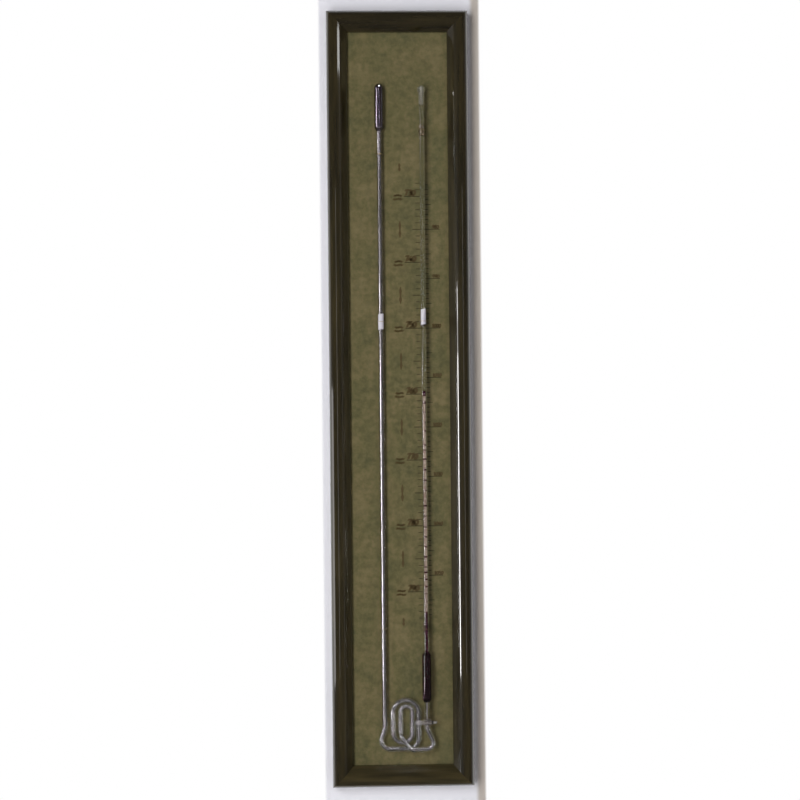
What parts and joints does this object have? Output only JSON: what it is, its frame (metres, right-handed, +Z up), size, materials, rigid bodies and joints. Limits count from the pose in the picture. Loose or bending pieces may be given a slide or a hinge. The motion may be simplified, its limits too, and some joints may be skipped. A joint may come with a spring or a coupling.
{
  "type": "contra barometer",
  "caption": "Contra barometer: closed mercury limb and dyed-liquid reading limb joined by a flat trap coil and a tap, on a scale board in a tall narrow moulded frame.",
  "frame": {"origin": "centre of the board's back, in the plane of the wall", "axes": "+Z up, along the limbs; +X to the viewer's right, from the closed limb to the reading limb; front faces -Y, the wall is at +Y"},
  "size_m": [0.196, 0.0303, 1.075],
  "materials": {
    "lacquered_wood": "dark olive-brown lacquer, high gloss",
    "plain_wood": "bare softwood, matt",
    "scale_sheet": "mottled olive printed sheet with a suede look, matt",
    "steel": "dull zinc",
    "brass": "satin",
    "glass": "clear, fire polished",
    "rubber": "matt",
    "cork": "cork, matt",
    "mercury": "liquid metal",
    "indicator_liquid": "dark purple dyed liquid"
  },
  "bodies": {
    "case": {"frame_stile_left": "lacquered_wood", "frame_stile_right": "lacquered_wood", "frame_rail_top": "lacquered_wood", "frame_rail_bottom": "lacquered_wood", "corner_nails": "steel", "backing_board": "plain_wood", "scale_sheet": "scale_sheet", "board_screws": "brass", "hanging_plate": "steel", "hanging_plate_screws": "steel", "closed_limb": "glass", "limb_foot": "glass", "trap_coil": "glass", "crossing_tube": "glass", "lower_bend": "glass", "cistern": "glass", "reading_tube": "glass", "tap_barrel": "glass", "limb_saddles": "cork", "reading_saddles": "cork", "limb_ties": "brass", "reading_ties": "brass", "mercury_limb": "mercury", "mercury_foot": "mercury", "mercury_trap": "mercury", "mercury_crossing": "mercury", "mercury_bend": "mercury", "mercury_inlet": "mercury", "mercury_neck": "mercury", "mercury_upper": "mercury", "mercury_cistern": "mercury", "liquid_cistern": "indicator_liquid", "liquid_column": "indicator_liquid"},
    "tap_key": {"tap_key": "glass", "tap_ring": "rubber", "mercury_key": "mercury"},
    "mercury_top_level": {"mercury_upper_level": "mercury"},
    "mercury_foot_level": {"mercury_cistern_level": "mercury"},
    "reading_level": {"liquid_reading": "indicator_liquid"}
  },
  "joints": [
    {"name": "tap_turn", "type": "hinge", "parent": "case", "child": "tap_key", "pos_m": [0.033, -0.024, -0.44869], "axis": [1, 0, 0], "range_deg": [0, 90]},
    {"name": "mercury_top_slide", "type": "slide", "parent": "case", "child": "mercury_top_level", "axis": [0, 0, 1], "range_m": [-0.0063, 0.0065], "deforming": ["mercury_upper"]},
    {"name": "mercury_foot_slide", "type": "slide", "parent": "case", "child": "mercury_foot_level", "axis": [0, 0, 1], "range_m": [-0.0066, 0.0064], "deforming": ["mercury_cistern", "liquid_cistern"]},
    {"name": "reading_level_slide", "type": "slide", "parent": "case", "child": "reading_level", "axis": [0, 0, 1], "range_m": [-0.279, 0.271], "deforming": ["liquid_column"]}
  ],
  "couplings": [
    {"joint": "mercury_foot_slide", "follows": "mercury_top_slide", "ratio": -1},
    {"joint": "reading_level_slide", "follows": "mercury_top_slide", "ratio": -42.87}
  ]
}
